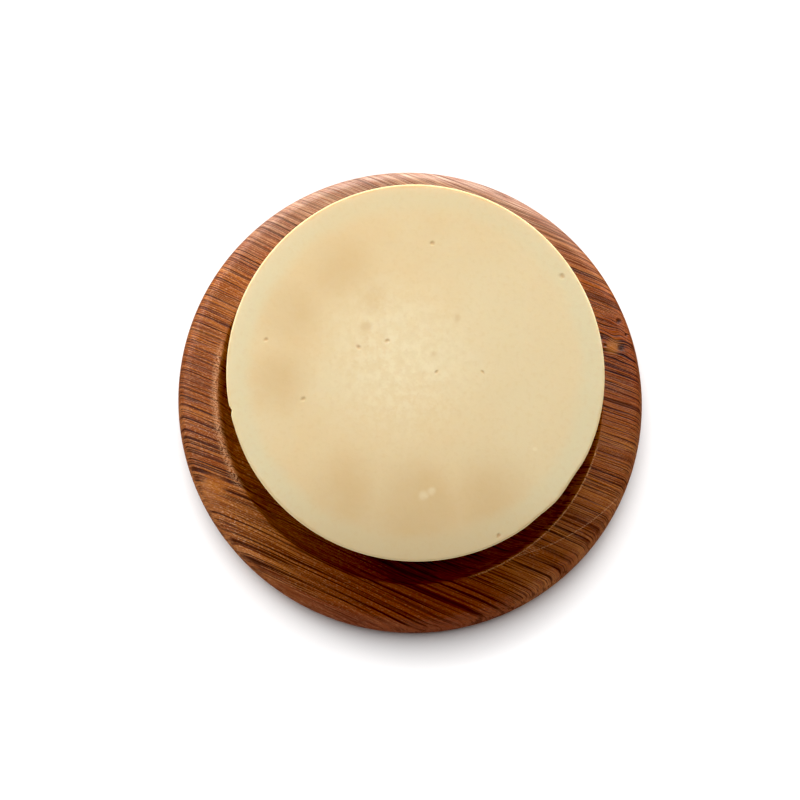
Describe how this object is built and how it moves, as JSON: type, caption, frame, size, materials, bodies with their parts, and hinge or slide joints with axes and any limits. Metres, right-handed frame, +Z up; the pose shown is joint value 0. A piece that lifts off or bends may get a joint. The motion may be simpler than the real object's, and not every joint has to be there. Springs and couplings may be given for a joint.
{
  "type": "shaving soap puck",
  "caption": "Round cream shaving soap puck seated off-centre in a low turned wooden bowl, standing proud of its wide rolled rim.",
  "frame": {"origin": "centre of the bowl's foot, on the surface it stands on", "axes": "+Z up along the bowl's turning axis; -Y towards the viewer, on the side of the widest gap beside the puck; +X to the viewer's right"},
  "size_m": [0.1008, 0.1008, 0.0435],
  "materials": {
    "turned_wood": "satin",
    "shaving_soap": "matte"
  },
  "bodies": {
    "bowl": {"wooden_bowl": "turned_wood"},
    "puck": {"soap_puck": "shaving_soap"}
  },
  "joints": [
    {"name": "puck_lift", "type": "slide", "parent": "bowl", "child": "puck", "axis": [0, 0, 1], "range_m": [0, 0.05]}
  ]
}
